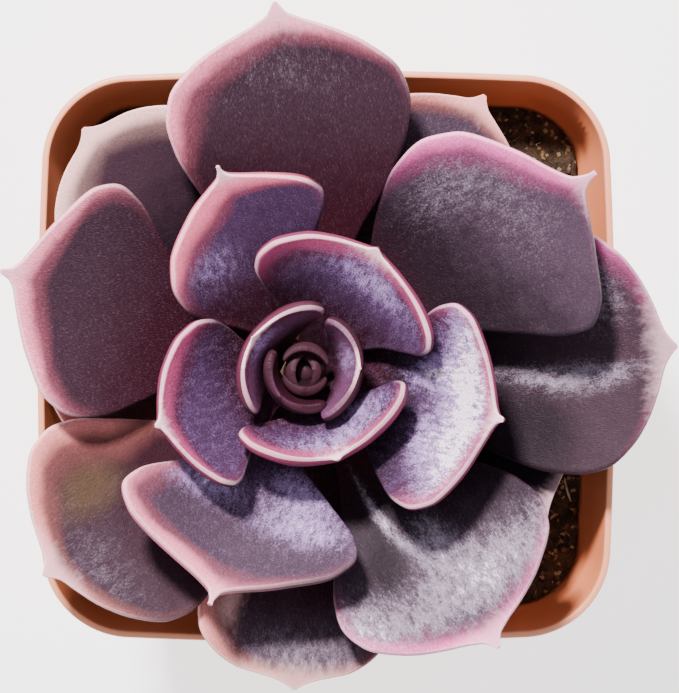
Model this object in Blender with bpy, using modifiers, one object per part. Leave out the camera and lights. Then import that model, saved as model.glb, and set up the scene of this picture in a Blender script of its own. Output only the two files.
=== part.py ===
"""A potted echeveria: a square plastic nursery pot, its soil, and a rosette of thick leaves on a short stem.

Metres, +Z up. The origin is the middle of the pot's underside, and the pot's sides face X and Y.
"""

import math
from dataclasses import dataclass

import bmesh
import bpy
import numpy as np
from mathutils import Vector, noise

# Gap kept between pieces that touch
SEAT_GAP = 0.0003

# Pot: a moulded shell of even thickness, with a wider collar at its top
POT_WALL = 0.0012
POT_HEIGHT = 0.088
POT_HALF_X = 0.0495
POT_HALF_Y = 0.0490
POT_CORNER = 0.0156
POT_BOW = 0.0008
COLLAR_DEPTH = 0.0158
COLLAR_TAPER = 0.0018
COLLAR_STEP = 0.0009
STEP_RISE = 0.0012
FOOT_HALF = 0.0365
FOOT_CORNER = 0.0120
FOOT_EDGE = 0.0014
FOOT_BAND = 0.0060
GROOVE_RISE = 0.0015
GROOVE_SLOPE = 0.0020
PAD_HALF = 0.0120
PAD_CORNER = 0.0070
LIP_ROUND = 0.0003
CORNER_STEPS = 6
POT_SIDE_STEPS = 4

# Drain holes, in the raised groove of the base
DRAIN_RADIUS = 0.0035
DRAIN_RING = 0.0200
DRAIN_COUNT = 8
DRAIN_SIDES = 16

# Soil
SOIL_LEVEL = 0.0690
SOIL_BASE = 0.0030
SOIL_GAP = 0.0005
SOIL_SIDE_STEPS = 8
SOIL_RINGS = 11
CRUMB_HEIGHT = 0.0009
CRUMB_SIZE = 0.0055
FINE_CRUMBS = 0.45
SOIL_MOUND = 0.0006

# Rosette: the stem's axis stands a little off the pot's middle
ROSETTE_X = -0.0035
ROSETTE_Y = -0.0025
STEM_FOOT = 0.0480
STEM_TOP = 0.1000
STEM_PROFILE = [
    (0.0024, STEM_TOP),
    (0.0034, 0.0960),
    (0.0056, 0.0800),
    (0.0060, 0.0735),
    (0.0054, 0.0670),
    (0.0040, STEM_FOOT),
]
STEM_SIDES = 20
STEM_HOLE_GAP = 0.0004

# Leaves: the lowest one's height on the stem, and the height between one leaf and the next
LOWEST_LEAF = 0.0738
LEAF_STEP = 0.0013
LEAF_SEAT = 0.0004
LEAF_ACROSS = 6
LEAF_ALONG = 14
LEAF_MARGIN = 0.0012
ACROSS_SPREAD = 0.86
ALONG_SPREAD = 1.25
OLD_LEAVES = 7
FLESH_LEAST = 0.0014
FLESH_SHARE = 0.15

# A leaf's half width from the stem to the tip, as shares of its length and of its greatest half width
LEAF_OUTLINE = [
    (0.0, 0.24), (0.10, 0.25), (0.30, 0.46), (0.48, 0.77), (0.62, 0.96), (0.70, 1.0), (0.78, 0.95),
    (0.86, 0.74), (0.91, 0.50), (0.945, 0.26), (0.965, 0.12), (0.985, 0.055), (1.0, 0.02),
]
WIDEST = 0.70
POINT_SHARE = 0.06
NECK_SHARE = 0.25
KEEL_ROUND = 0.2

# A leaf's thickness along its middle, as shares of its length and of its greatest thickness
LEAF_FLESH = [(0.0, 0.55), (0.15, 0.75), (0.60, 1.0), (0.85, 0.80), (0.95, 0.42), (1.0, 0.16)]


@dataclass
class Leaf:
    """One leaf. Angles are in degrees, and lengths in metres.

    rise and tip_rise are its slope at the stem and at the tip, and cup is the angle each half curls through.
    sweep leans the tip to the left, slant sets the left shoulder ahead of the right one, and keel folds the
    leaf along its middle. point and waist say how fast it narrows to the tip and to the stem, 1 being plain.
    """

    azimuth: float
    reach: float
    tip_height: float
    half_width: float
    cup: float
    rise: float
    tip_rise: float
    sweep: float = 0.0
    point: float = 1.0
    waist: float = 1.0
    slant: float = 0.0
    keel: float = 0.0
    base_height: float = 0.0
    base_radius: float = 0.0
    margin: float = LEAF_MARGIN
    across_steps: int = LEAF_ACROSS
    along_steps: int = LEAF_ALONG

    @property
    def middle(self):
        """Thickness at the middle of the blade: a wide leaf is a thick one."""
        return FLESH_LEAST + FLESH_SHARE * self.half_width


# From the lowest and oldest leaf up. Each stands about 137.5 degrees round from the one below it
ROSETTE = [
    Leaf(327.5, 0.0497, 0.0900, 0.0165, 12, 20, 8, point=0.3),
    Leaf(179, 0.0473, 0.0935, 0.0145, 12, 21, 14),
    Leaf(57, 0.0565, 0.0940, 0.0160, 12, 20, 8),
    Leaf(270, 0.0545, 0.0975, 0.0175, 12, 24, 12, sweep=-0.002, point=0.5, slant=-0.10),
    Leaf(131, 0.0565, 0.0962, 0.0170, 12, 23, 10, sweep=0.0015, point=0.7, slant=0.04),
    Leaf(4, 0.0632, 0.1010, 0.0210, 14, 26, 16, point=0.8, waist=0.8),
    Leaf(220, 0.0563, 0.1030, 0.0200, 16, 28, 20, sweep=-0.002, waist=1.3, slant=-0.03),
    Leaf(92, 0.0620, 0.1090, 0.0210, 18, 31, 24, sweep=0.003, point=1.2),
    Leaf(306, 0.0565, 0.1085, 0.0204, 20, 33, 24, sweep=-0.001, point=1.3, waist=1.3),
    Leaf(161, 0.0536, 0.1100, 0.0200, 22, 36, 28, sweep=0.0005, point=1.7, waist=1.5, slant=-0.06),
    Leaf(34.5, 0.0587, 0.1130, 0.0213, 18, 38, 26, point=2.3, waist=1.2, slant=-0.08),
    Leaf(245, 0.0415, 0.1130, 0.0210, 28, 45, 35, sweep=0.002, point=2.6, waist=1.8, slant=-0.03, keel=0.1),
    Leaf(116, 0.0370, 0.1140, 0.0164, 34, 48, 38, sweep=-0.002, point=2.2, waist=0.9, slant=-0.13),
    Leaf(343, 0.0342, 0.1150, 0.0194, 36, 52, 42, sweep=0.002, point=1.8, waist=1.1, slant=0.02),
    Leaf(197, 0.0267, 0.1140, 0.0157, 40, 55, 45, sweep=0.0015, point=1.6, waist=0.7, slant=0.12),
    Leaf(63, 0.0240, 0.1145, 0.0184, 44, 60, 45, sweep=-0.0015, point=1.3, waist=0.9, slant=-0.06),
    Leaf(291, 0.0161, 0.1135, 0.0170, 48, 68, 50, point=1.2, waist=1.2, slant=0.05),
    Leaf(147, 0.0114, 0.1120, 0.0129, 62, 74, 56),
    Leaf(2, 0.0095, 0.1110, 0.0104, 65, 78, 60),
    Leaf(225, 0.0058, 0.1090, 0.0072, 70, 82, 66),
]

# Heart: the unopened leaves at the stem's tip, which still hold together as one piece
HEART_LEAVES = [
    Leaf(88, 0.0042, 0.1070, 0.0046, 75, 84, 72),
    Leaf(310, 0.0032, 0.1064, 0.0038, 75, 86, 76),
    Leaf(172, 0.0022, 0.1056, 0.0030, 75, 88, 80),
    Leaf(35, 0.0014, 0.1046, 0.0022, 75, 88, 82),
]
HEART_BASE = 0.1003
HEART_RADIUS = 0.0021
HEART_HEIGHT = 0.0040
HEART_SIDES = 10
HEART_BANDS = 6
HEART_SEAT_RISE = 0.0006
HEART_SEAT_RADIUS = 0.0009
HEART_MARGIN = 0.0008
HEART_ACROSS = 4
HEART_ALONG = 7

TERRACOTTA = (0.52, 0.16, 0.07, 1.0)
PEAT = (0.028, 0.018, 0.013, 1.0)
STEM_BROWN = (0.20, 0.12, 0.09, 1.0)
LEAF_YOUNG = (0.24, 0.12, 0.19, 1.0)
LEAF_OLD = (0.20, 0.15, 0.20, 1.0)


def clear_scene():
    for obj in list(bpy.data.objects):
        bpy.data.objects.remove(obj, do_unlink=True)


def new_collection(name):
    collection = bpy.data.collections.new(name)
    bpy.context.scene.collection.children.link(collection)
    return collection


def material(name, colour, roughness, metallic=0.0):
    made = bpy.data.materials.new(name)
    made.use_nodes = True
    shader = made.node_tree.nodes["Principled BSDF"]
    shader.inputs["Base Color"].default_value = colour
    shader.inputs["Roughness"].default_value = roughness
    shader.inputs["Metallic"].default_value = metallic
    made.diffuse_color = colour
    return made


def add_object(name, mesh, collection, finish=None):
    obj = bpy.data.objects.new(name, mesh)
    collection.objects.link(obj)
    if finish:
        mesh.materials.append(finish)
    return obj


def mesh_from(bm, name, smooth_below=40):
    """Closes a bmesh into a mesh, shaded smooth where faces meet at less than the given angle."""
    mesh = bpy.data.meshes.new(name)
    bm.to_mesh(mesh)
    bm.free()
    mesh.shade_smooth()
    mesh.set_sharp_from_angle(angle=math.radians(smooth_below))
    return mesh


def applied(obj, name):
    """The object's mesh with its modifiers applied."""
    bpy.context.view_layer.update()
    graph = bpy.context.evaluated_depsgraph_get()
    mesh = bpy.data.meshes.new_from_object(obj.evaluated_get(graph))
    mesh.name = name
    return mesh


def rounded_square(half_x, half_y, corner, bow, side_steps):
    """Points round a rounded square whose sides bow outward a little, anticlockwise from the +X side."""
    points = []
    for quarter in range(4):
        sign_x = (1, -1, -1, 1)[quarter]
        sign_y = (1, 1, -1, -1)[quarter]
        centre = Vector((sign_x * (half_x - corner), sign_y * (half_y - corner)))
        for step in range(CORNER_STEPS + 1):
            angle = math.radians(90 * (quarter + step / CORNER_STEPS))
            points.append(centre + corner * Vector((math.cos(angle), math.sin(angle))))
        start = points[-1]
        along_x = quarter % 2 == 0
        length = 2 * ((half_x if along_x else half_y) - corner)
        angle = math.radians(90 * (quarter + 1))
        outward = Vector((math.cos(angle), math.sin(angle)))
        onward = Vector((-outward.y, outward.x))
        for step in range(1, side_steps):
            share = step / side_steps
            points.append(start + onward * length * share + outward * bow * 4 * share * (1 - share))
    return points


def loft(rings):
    """A skin through the rings in turn, its first and last rings filled."""
    bm = bmesh.new()
    loops = [[bm.verts.new(point) for point in ring] for ring in rings]
    for lower, upper in zip(loops, loops[1:]):
        for i in range(len(lower)):
            j = (i + 1) % len(lower)
            bm.faces.new((lower[i], lower[j], upper[j], upper[i]))
    bm.faces.new(loops[0])
    bm.faces.new(loops[-1])
    bmesh.ops.recalc_face_normals(bm, faces=bm.faces)
    return bm


def wall_share(height):
    """A height on the pot's wall, as a share of the way from the foot's edge to the collar's step."""
    wall_top = POT_HEIGHT - COLLAR_DEPTH - STEP_RISE
    return (height - FOOT_EDGE) / (wall_top - FOOT_EDGE)


def pot_section(share):
    """Half sizes, corner radius and bow of the pot's wall, from 0 at the foot to 1 under the collar."""
    inset = COLLAR_TAPER + COLLAR_STEP
    half_x = FOOT_HALF + share * (POT_HALF_X - inset - FOOT_HALF)
    half_y = FOOT_HALF + share * (POT_HALF_Y - inset - FOOT_HALF)
    corner = FOOT_CORNER + share * (POT_CORNER - inset - FOOT_CORNER)
    return half_x, half_y, corner, POT_BOW * share


def flat_ring(section, height, side_steps):
    rise = Vector((0, 0, height))
    return [point.to_3d() + rise for point in rounded_square(*section, side_steps)]


def inset_section(section, inset):
    half_x, half_y, corner, bow = section
    return half_x - inset, half_y - inset, max(corner - inset, 0.001), bow


def make_pot(collection, cutters, finish):
    """The outer skin from the base's pad out to the foot and up to the lip, thickened inward."""
    foot = pot_section(0)
    step = pot_section(1)
    lip = (POT_HALF_X, POT_HALF_Y, POT_CORNER, POT_BOW)
    collar_foot = inset_section(lip, COLLAR_TAPER)
    band_inner = inset_section(foot, FOOT_BAND)
    step_height = POT_HEIGHT - COLLAR_DEPTH
    stations = [
        ((PAD_HALF, PAD_HALF, PAD_CORNER, 0), 0),
        (inset_section((PAD_HALF, PAD_HALF, PAD_CORNER, 0), -GROOVE_SLOPE), GROOVE_RISE),
        (inset_section(band_inner, GROOVE_SLOPE), GROOVE_RISE),
        (band_inner, 0),
        (inset_section(foot, FOOT_EDGE), 0),
        (foot, FOOT_EDGE),
        (pot_section(0.5), FOOT_EDGE + 0.5 * (step_height - STEP_RISE - FOOT_EDGE)),
        (step, step_height - STEP_RISE),
        (collar_foot, step_height),
        (lip, POT_HEIGHT),
    ]
    bm = loft([flat_ring(section, height, POT_SIDE_STEPS) for section, height in stations])
    mouth = max(bm.faces, key=lambda face: face.calc_center_median().z)
    bmesh.ops.delete(bm, geom=[mouth], context="FACES_ONLY")
    pot = add_object("pot", mesh_from(bm, "pot"), collection, finish)
    wall = pot.modifiers.new("Wall", "SOLIDIFY")
    wall.thickness = POT_WALL
    wall.offset = -1
    wall.use_even_offset = True
    rounding = pot.modifiers.new("Rounded edges", "BEVEL")
    rounding.width = LIP_ROUND
    rounding.segments = 1
    rounding.limit_method = "ANGLE"
    rounding.angle_limit = math.radians(70)
    for hole in range(DRAIN_COUNT):
        angle = math.tau * hole / DRAIN_COUNT
        bm = bmesh.new()
        bmesh.ops.create_cone(bm, cap_ends=True, segments=DRAIN_SIDES, radius1=DRAIN_RADIUS,
                              radius2=DRAIN_RADIUS, depth=4 * (GROOVE_RISE + POT_WALL))
        cutter = add_object(f"drain_cutter_{hole + 1}", mesh_from(bm, "drain_cutter"), cutters)
        cutter.location = (DRAIN_RING * math.cos(angle), DRAIN_RING * math.sin(angle), 0)
        cutter.hide_render = True
        cutter.display_type = "WIRE"
        drain = pot.modifiers.new(f"Drain {hole + 1}", "BOOLEAN")
        drain.operation = "DIFFERENCE"
        drain.solver = "EXACT"
        drain.object = cutter


def stem_radius(height):
    """The stem's radius at a height."""
    radii, heights = zip(*reversed(STEM_PROFILE))
    return float(np.interp(height, heights, radii))


def crumbs(x, y):
    """Height of the soil's crumbs above its level."""
    place = Vector((x, y, 0))
    coarse = noise.noise(place / CRUMB_SIZE)
    fine = noise.noise(place / (FINE_CRUMBS * CRUMB_SIZE) + Vector((7.3, 1.9, 4.1)))
    return CRUMB_HEIGHT * (coarse + 0.6 * fine)


def make_soil(collection, finish):
    """Fills the pot to its level, crumbly on top, with a plain hole that the stem stands in."""
    rings = []
    for share in (0, 1 / 3, 2 / 3, 1):
        height = SOIL_BASE + share * (SOIL_LEVEL - SOIL_BASE)
        section = inset_section(pot_section(wall_share(height)), POT_WALL + SOIL_GAP)
        rings.append(flat_ring(section, height, SOIL_SIDE_STEPS))
    outer = rings.pop()
    middle = Vector((ROSETTE_X, ROSETTE_Y, SOIL_LEVEL))
    mouth_radius = stem_radius(SOIL_LEVEL) + STEM_HOLE_GAP
    foot_radius = stem_radius(STEM_FOOT) + STEM_HOLE_GAP
    away = [Vector((point.x - middle.x, point.y - middle.y, 0)).normalized() for point in outer]
    hole = [middle + direction * mouth_radius for direction in away]
    for ring in range(SOIL_RINGS + 1):
        share = ring / SOIL_RINGS
        made = []
        for far, near in zip(outer, hole):
            point = far.lerp(near, share)
            relief = crumbs(point.x, point.y) * (1 if ring < SOIL_RINGS else 0)
            made.append(point + Vector((0, 0, relief + SOIL_MOUND * share)))
        rings.append(made)
    hole_foot = Vector((ROSETTE_X, ROSETTE_Y, STEM_FOOT - SEAT_GAP))
    rings.append([hole_foot + direction * foot_radius for direction in away])
    add_object("soil", mesh_from(loft(rings), "soil", smooth_below=25), collection, finish)


def make_stem(collection, finish):
    """A turned stem, from its foot in the soil to its tip under the heart."""
    bm = bmesh.new()
    outline = [(0.0, STEM_TOP)] + STEM_PROFILE + [(0.0, STEM_FOOT)]
    verts = [bm.verts.new((radius, 0, height)) for radius, height in outline]
    for upper, lower in zip(verts, verts[1:]):
        bm.edges.new((upper, lower))
    stem = add_object("stem", mesh_from(bm, "stem"), collection, finish)
    turn = stem.modifiers.new("Turn", "SCREW")
    turn.axis = "Z"
    turn.steps = STEM_SIDES
    turn.render_steps = STEM_SIDES
    turn.use_merge_vertices = True
    turn.merge_threshold = 0.0001
    stem.location = (ROSETTE_X, ROSETTE_Y, 0)


def smooth_through(stations, at):
    """A smooth curve through the stations that adds no bumps of its own, read at the given places."""
    places = np.array([place for place, _ in stations])
    values = np.array([value for _, value in stations])
    gaps = np.diff(places)
    slopes = np.diff(values) / gaps
    tangents = np.zeros(len(places))
    tangents[0] = slopes[0]
    tangents[-1] = slopes[-1]
    for i in range(1, len(places) - 1):
        if slopes[i - 1] * slopes[i] > 0:
            before = 2 * gaps[i] + gaps[i - 1]
            after = gaps[i] + 2 * gaps[i - 1]
            tangents[i] = (before + after) / (before / slopes[i - 1] + after / slopes[i])
    k = np.clip(np.searchsorted(places, at, side="right") - 1, 0, len(gaps) - 1)
    s = (at - places[k]) / gaps[k]
    rising = s * s * (3 - 2 * s)
    lead = s * (1 - s) ** 2 * gaps[k] * tangents[k]
    trail = s * s * (s - 1) * gaps[k] * tangents[k + 1]
    return (1 - rising) * values[k] + rising * values[k + 1] + lead + trail


def leaf_half_width(leaf, along, side):
    """Half width at a place along the leaf, on its left (side 1) or its right (side -1)."""
    slanted = along - leaf.slant * side * np.sin(np.pi * along) ** 2
    share = np.clip(smooth_through(LEAF_OUTLINE, np.clip(slanted, 0, 1)), 0.0001, 1)
    beyond = 1 + (leaf.point - 1) * np.clip((1 - along) / POINT_SHARE, 0, 1)
    before = 1 + (leaf.waist - 1) * np.clip(along / NECK_SHARE, 0, 1)
    return leaf.half_width * share ** np.where(along > WIDEST, beyond, before)


def leaf_place(leaf, along, across):
    """Points of the upper face: along runs 0 to 1 from stem to tip, across -1 to 1, the left margin."""
    angle = math.radians(leaf.azimuth)
    outward = np.array([math.cos(angle), math.sin(angle), 0.0])
    left = np.array([-math.sin(angle), math.cos(angle), 0.0])
    up = np.array([0.0, 0.0, 1.0])
    start = np.array([leaf.base_radius, leaf.base_height])
    end = np.array([leaf.reach, leaf.tip_height])
    handle = np.linalg.norm(end - start) / 3
    rise, tip_rise = math.radians(leaf.rise), math.radians(leaf.tip_rise)
    lead = start + handle * np.array([math.cos(rise), math.sin(rise)])
    trail = end - handle * np.array([math.cos(tip_rise), math.sin(tip_rise)])
    t = along[:, None]
    rib = (1 - t) ** 3 * start + 3 * (1 - t) ** 2 * t * lead + 3 * (1 - t) * t * t * trail + t**3 * end
    run = (1 - t) ** 2 * (lead - start) + 2 * (1 - t) * t * (trail - lead) + t * t * (end - trail)
    run = run / np.linalg.norm(run, axis=1, keepdims=True)
    turn = (2 * leaf.sweep * along / (leaf.reach - leaf.base_radius))[:, None]
    ahead = outward * np.cos(turn) + left * np.sin(turn)
    aside = left * np.cos(turn) - outward * np.sin(turn)
    face = up * run[:, :1] - ahead * run[:, 1:]
    half = leaf_half_width(leaf, along, np.sign(across))
    bend = leaf.half_width / math.radians(leaf.cup)
    arc = half * across / bend
    keel = leaf.keel * half * (np.sqrt(across**2 + KEEL_ROUND**2) - KEEL_ROUND)
    foot = np.array([ROSETTE_X, ROSETTE_Y, 0.0])
    middle = foot + rib[:, :1] * outward + rib[:, 1:] * up + (leaf.sweep * along**2)[:, None] * left
    return middle + (bend * np.sin(arc))[:, None] * aside + (bend * (1 - np.cos(arc)) + keel)[:, None] * face


def leaf_thickness(leaf, along, across):
    """Thick along the middle, thin at the margins and at the point."""
    margin = leaf.margin * np.interp(along, [0, 0.9, 1], [1, 1, 0.6])
    middle = leaf.middle * np.interp(along, *zip(*LEAF_FLESH))
    return margin + np.maximum(middle - margin, 0) * (1 - across**2) ** 0.8


def make_leaf(name, leaf, collection, finish):
    """A grid laid over the leaf's upper face, thickened downward by its flesh."""
    bm = bmesh.new()
    bmesh.ops.create_grid(bm, x_segments=leaf.across_steps, y_segments=leaf.along_steps, size=1)
    bm.verts.ensure_lookup_table()
    across = np.array([-vert.co.x for vert in bm.verts])
    along = np.array([(vert.co.y + 1) / 2 for vert in bm.verts])
    across = np.sin(0.5 * np.pi * across * ACROSS_SPREAD) / math.sin(0.5 * math.pi * ACROSS_SPREAD)
    along = 1 - (1 - along) ** ALONG_SPREAD
    places = leaf_place(leaf, along, across)
    flesh = leaf_thickness(leaf, along, across) / leaf.middle
    weights = bm.verts.layers.deform.verify()
    for vert, place, share in zip(bm.verts, places, flesh):
        vert.co = place
        vert[weights][0] = float(share)
    bmesh.ops.triangulate(bm, faces=bm.faces, quad_method="SHORT_EDGE")
    obj = add_object(name, mesh_from(bm, name), collection, finish)
    obj.vertex_groups.new(name="flesh")
    body = obj.modifiers.new("Flesh", "SOLIDIFY")
    body.thickness = leaf.middle
    body.offset = -1
    body.vertex_group = "flesh"
    body.thickness_vertex_group = 0.0
    return obj


def make_rosette(collection, young, old):
    for number, leaf in enumerate(ROSETTE):
        leaf.base_height = LOWEST_LEAF + number * LEAF_STEP
        leaf.base_radius = stem_radius(leaf.base_height) + LEAF_SEAT
        finish = old if number < OLD_LEAVES else young
        make_leaf(f"leaf_{number + 1:02d}", leaf, collection, finish)


def make_heart(collection, finish):
    """The unopened leaves, joined to a small core."""
    loose = new_collection("heart_leaves")
    for number, leaf in enumerate(HEART_LEAVES):
        leaf.base_height = HEART_BASE + HEART_SEAT_RISE
        leaf.base_radius = HEART_SEAT_RADIUS
        leaf.margin = HEART_MARGIN
        leaf.across_steps = HEART_ACROSS
        leaf.along_steps = HEART_ALONG
        made = make_leaf(f"heart_leaf_{number}", leaf, loose, finish)
        mesh = applied(made, made.name)
        made.modifiers.clear()
        made.data = mesh
    bm = bmesh.new()
    bmesh.ops.create_uvsphere(bm, u_segments=HEART_SIDES, v_segments=HEART_BANDS, radius=1)
    bmesh.ops.scale(bm, vec=(HEART_RADIUS, HEART_RADIUS, HEART_HEIGHT / 2), verts=bm.verts)
    bmesh.ops.translate(bm, vec=(ROSETTE_X, ROSETTE_Y, HEART_BASE + HEART_HEIGHT / 2), verts=bm.verts)
    heart = add_object("heart", mesh_from(bm, "heart"), collection, finish)
    union = heart.modifiers.new("Join", "BOOLEAN")
    union.operation = "UNION"
    union.operand_type = "COLLECTION"
    union.collection = loose
    union.solver = "EXACT"
    mesh = applied(heart, "heart")
    heart.modifiers.clear()
    heart.data = mesh
    for obj in list(loose.objects):
        bpy.data.objects.remove(obj, do_unlink=True)
    bpy.data.collections.remove(loose)


def main():
    clear_scene()
    parts = new_collection("potted_echeveria")
    cutters = new_collection("cutters")
    make_pot(parts, cutters, material("pot_plastic", TERRACOTTA, 0.45))
    make_soil(parts, material("potting_soil", PEAT, 0.95))
    make_stem(parts, material("stem_bark", STEM_BROWN, 0.8))
    young = material("leaf_young", LEAF_YOUNG, 0.55)
    make_rosette(parts, young, material("leaf_old", LEAF_OLD, 0.6))
    make_heart(parts, young)


main()
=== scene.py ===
# %% [markdown]
# This lesson dresses a potted echeveria: a square plastic pot, its soil, and a rosette of thick, waxy leaves.
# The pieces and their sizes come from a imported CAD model, which works like a set of moulds. We could paint the
# moulds themselves, but a leaf is judged by its thin rounded margin and its bloom, which need a finer mesh. So
# we keep the model as a frame, measure it, and lay one detailed piece over each mould.

# %% Load the frame
import math
import random
from dataclasses import dataclass, field

import bmesh
import bpy
import numpy as np
from mathutils import Matrix, Vector, noise


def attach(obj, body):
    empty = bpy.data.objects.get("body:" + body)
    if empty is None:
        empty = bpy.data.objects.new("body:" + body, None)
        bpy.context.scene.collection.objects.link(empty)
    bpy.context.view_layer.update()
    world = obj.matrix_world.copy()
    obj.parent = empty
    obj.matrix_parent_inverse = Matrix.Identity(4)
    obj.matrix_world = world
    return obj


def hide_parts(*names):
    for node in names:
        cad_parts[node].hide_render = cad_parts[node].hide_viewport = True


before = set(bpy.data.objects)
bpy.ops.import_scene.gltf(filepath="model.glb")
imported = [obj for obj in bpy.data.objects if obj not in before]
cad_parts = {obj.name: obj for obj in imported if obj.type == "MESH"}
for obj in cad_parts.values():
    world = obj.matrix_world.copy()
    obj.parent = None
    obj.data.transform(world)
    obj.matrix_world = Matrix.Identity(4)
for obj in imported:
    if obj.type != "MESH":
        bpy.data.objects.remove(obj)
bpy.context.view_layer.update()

MM = 0.001
NOISE_SEED = 5

# Unless it is seeded, noise_vector starts from the clock, and the leaves would bend differently on each run.
noise.seed_set(NOISE_SEED)

# %% [markdown]
# The picture is taken from straight above, from about 0.6 m over the leaves, with a long lens. A wide lens close
# by would make the top leaves swell, so the distance matters as much as the lens. The camera stands a few
# millimetres off the pot's middle, because the rosette grew a little to one side and the picture is centred on it.

# %% Camera
CAMERA_PLACE = (2.3 * MM, 1.7 * MM, 688 * MM)
SENSOR_WIDTH = 36.0
FOCAL_PIXELS = 3450.0
PICTURE_HEIGHT = 693

camera_data = bpy.data.cameras.new("overhead_camera")
camera_data.sensor_width = SENSOR_WIDTH
camera_data.lens = FOCAL_PIXELS * SENSOR_WIDTH / PICTURE_HEIGHT
camera_data.clip_start = 0.01
camera = bpy.data.objects.new("overhead_camera", camera_data)
camera.location = CAMERA_PLACE
bpy.context.scene.collection.objects.link(camera)
bpy.context.scene.camera = camera
print("lens:", round(camera_data.lens, 1), "mm")

# %% [markdown]
# One lamp to the upper left gives the leaves their bright bloom and their clear shadows on each other. A sun
# would cut them too hard and a big softbox would wash them out, so the lamp is a small square at arm's length.
# The pale sky all round fills what the lamp doesn't reach.

# %% Light
KEY_AZIMUTH = math.radians(111)
KEY_HEIGHT = math.radians(54)
KEY_DISTANCE = 1.0
KEY_SIZE = 0.13
KEY_POWER = 34.0
SKY_STRENGTH = 0.9

toward_key = Vector((
    math.cos(KEY_HEIGHT) * math.cos(KEY_AZIMUTH),
    math.cos(KEY_HEIGHT) * math.sin(KEY_AZIMUTH),
    math.sin(KEY_HEIGHT),
))
lamp_data = bpy.data.lights.new("key_lamp", "AREA")
lamp_data.shape = "SQUARE"
lamp_data.size = KEY_SIZE
lamp_data.energy = KEY_POWER
lamp_data.color = (1.0, 0.97, 0.94)
lamp = bpy.data.objects.new("key_lamp", lamp_data)
lamp.location = toward_key * KEY_DISTANCE + Vector((0, 0, 0.09))
lamp.rotation_euler = toward_key.to_track_quat("Z", "Y").to_euler()
bpy.context.scene.collection.objects.link(lamp)

sky = bpy.data.worlds.new("pale_sky")
sky.use_nodes = True
sky.node_tree.nodes["Background"].inputs["Color"].default_value = (0.90, 0.94, 1.0, 1.0)
sky.node_tree.nodes["Background"].inputs["Strength"].default_value = SKY_STRENGTH
bpy.context.scene.world = sky
print("key lamp at", [round(value, 3) for value in lamp.location])

# %% [markdown]
# Finishes are made of shader nodes. Wiring nodes one by one hides the idea behind them, so a small class wraps
# a socket and lets us write shader maths as Python sums: adding two wrapped sockets adds a Math node. Colours
# and vectors go through Mix and Vector Math instead, since a Math node would turn a colour grey.


# %% Shader sums
class Shade:
    """One output socket of a material, which can be used in sums."""

    def __init__(self, tree, socket):
        self.tree = tree
        self.socket = socket

    def node(self, kind, settings=None, inputs=None, output=0):
        """Adds a node of any kind: its settings first, then the values or links of its sockets."""
        made = self.tree.nodes.new(kind)
        for name, value in (settings or {}).items():
            setattr(made, name, value)
        for name, value in (inputs or {}).items():
            if isinstance(value, Shade):
                self.tree.links.new(value.socket, made.inputs[name])
            else:
                made.inputs[name].default_value = value
        return Shade(self.tree, made.outputs[output])

    def sum(self, operation, first, second):
        kinds = {value.socket.type for value in (first, second) if isinstance(value, Shade)}
        if "RGBA" in kinds:
            return self.node("ShaderNodeMix", {"data_type": "RGBA", "blend_type": operation},
                             {0: 1.0, 6: first, 7: second}, 2)
        if "VECTOR" in kinds or isinstance(second, tuple):
            return self.node("ShaderNodeVectorMath", {"operation": operation}, {0: first, 1: second})
        return self.node("ShaderNodeMath", {"operation": operation}, {0: first, 1: second})

    def __add__(self, other):
        return self.sum("ADD", self, other)

    def __radd__(self, other):
        return self.sum("ADD", other, self)

    def __sub__(self, other):
        return self.sum("SUBTRACT", self, other)

    def __rsub__(self, other):
        return self.sum("SUBTRACT", other, self)

    def __mul__(self, other):
        return self.sum("MULTIPLY", self, other)

    def __rmul__(self, other):
        return self.sum("MULTIPLY", other, self)

    def __truediv__(self, other):
        return self.sum("DIVIDE", self, other)

    def step(self, start, end):
        """Rises smoothly from 0 at start to 1 at end. It falls where start is the larger."""
        return self.node("ShaderNodeMapRange", {"interpolation_type": "SMOOTHSTEP"},
                         {"Value": self, "From Min": start, "From Max": end})

    def choose(self, none, full):
        """The colour none where this is 0, full where it is 1, and a mix between."""
        return self.node("ShaderNodeMix", {"data_type": "RGBA"}, {0: self, 6: none, 7: full}, 2)

    def part(self, index):
        """One of a vector's three numbers."""
        return self.node("ShaderNodeSeparateXYZ", None, {0: self}, index)

    def grain(self, size, detail=3.0, roughness=0.5, seed=0.0):
        """Cloudy noise, 0 to 1 and about 0.5 on average, whose clouds are the given size in this vector's units."""
        return self.node("ShaderNodeTexNoise", {"noise_dimensions": "4D"},
                         {"Vector": self, "W": seed, "Scale": 1 / size, "Detail": detail, "Roughness": roughness})


def rgb(red, green, blue):
    return (red, green, blue, 1.0)


class Finish:
    """A material in the making: its Principled shader, and where its nodes start from."""

    def __init__(self, name, **even):
        """even holds what is the same all over, such as Roughness, by its socket's name with _ for a space."""
        self.material = bpy.data.materials.new(name)
        self.material.use_nodes = True
        self.tree = self.material.node_tree
        self.shader = self.tree.nodes["Principled BSDF"]
        for socket, value in even.items():
            self.shader.inputs[socket.replace("_", " ")].default_value = value
        self.start = Shade(self.tree, None)

    def attribute(self, name, output="Fac"):
        return self.start.node("ShaderNodeAttribute", {"attribute_name": name}, None, output)

    def place(self):
        """Object coordinates in millimetres."""
        return self.start.node("ShaderNodeTexCoord", None, None, "Object") * (1000.0, 1000.0, 1000.0)

    def vary(self, **sockets):
        for socket, value in sockets.items():
            self.tree.links.new(value.socket, self.shader.inputs[socket.replace("_", " ")])

    def relief(self, height, depth):
        """Bump: height runs 0 to 1, and depth is what 1 stands for in millimetres."""
        bump = self.start.node("ShaderNodeBump", None, {"Height": height, "Distance": depth * MM, "Strength": 1.0})
        self.vary(Normal=bump)


print("shader sums ready")

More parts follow.
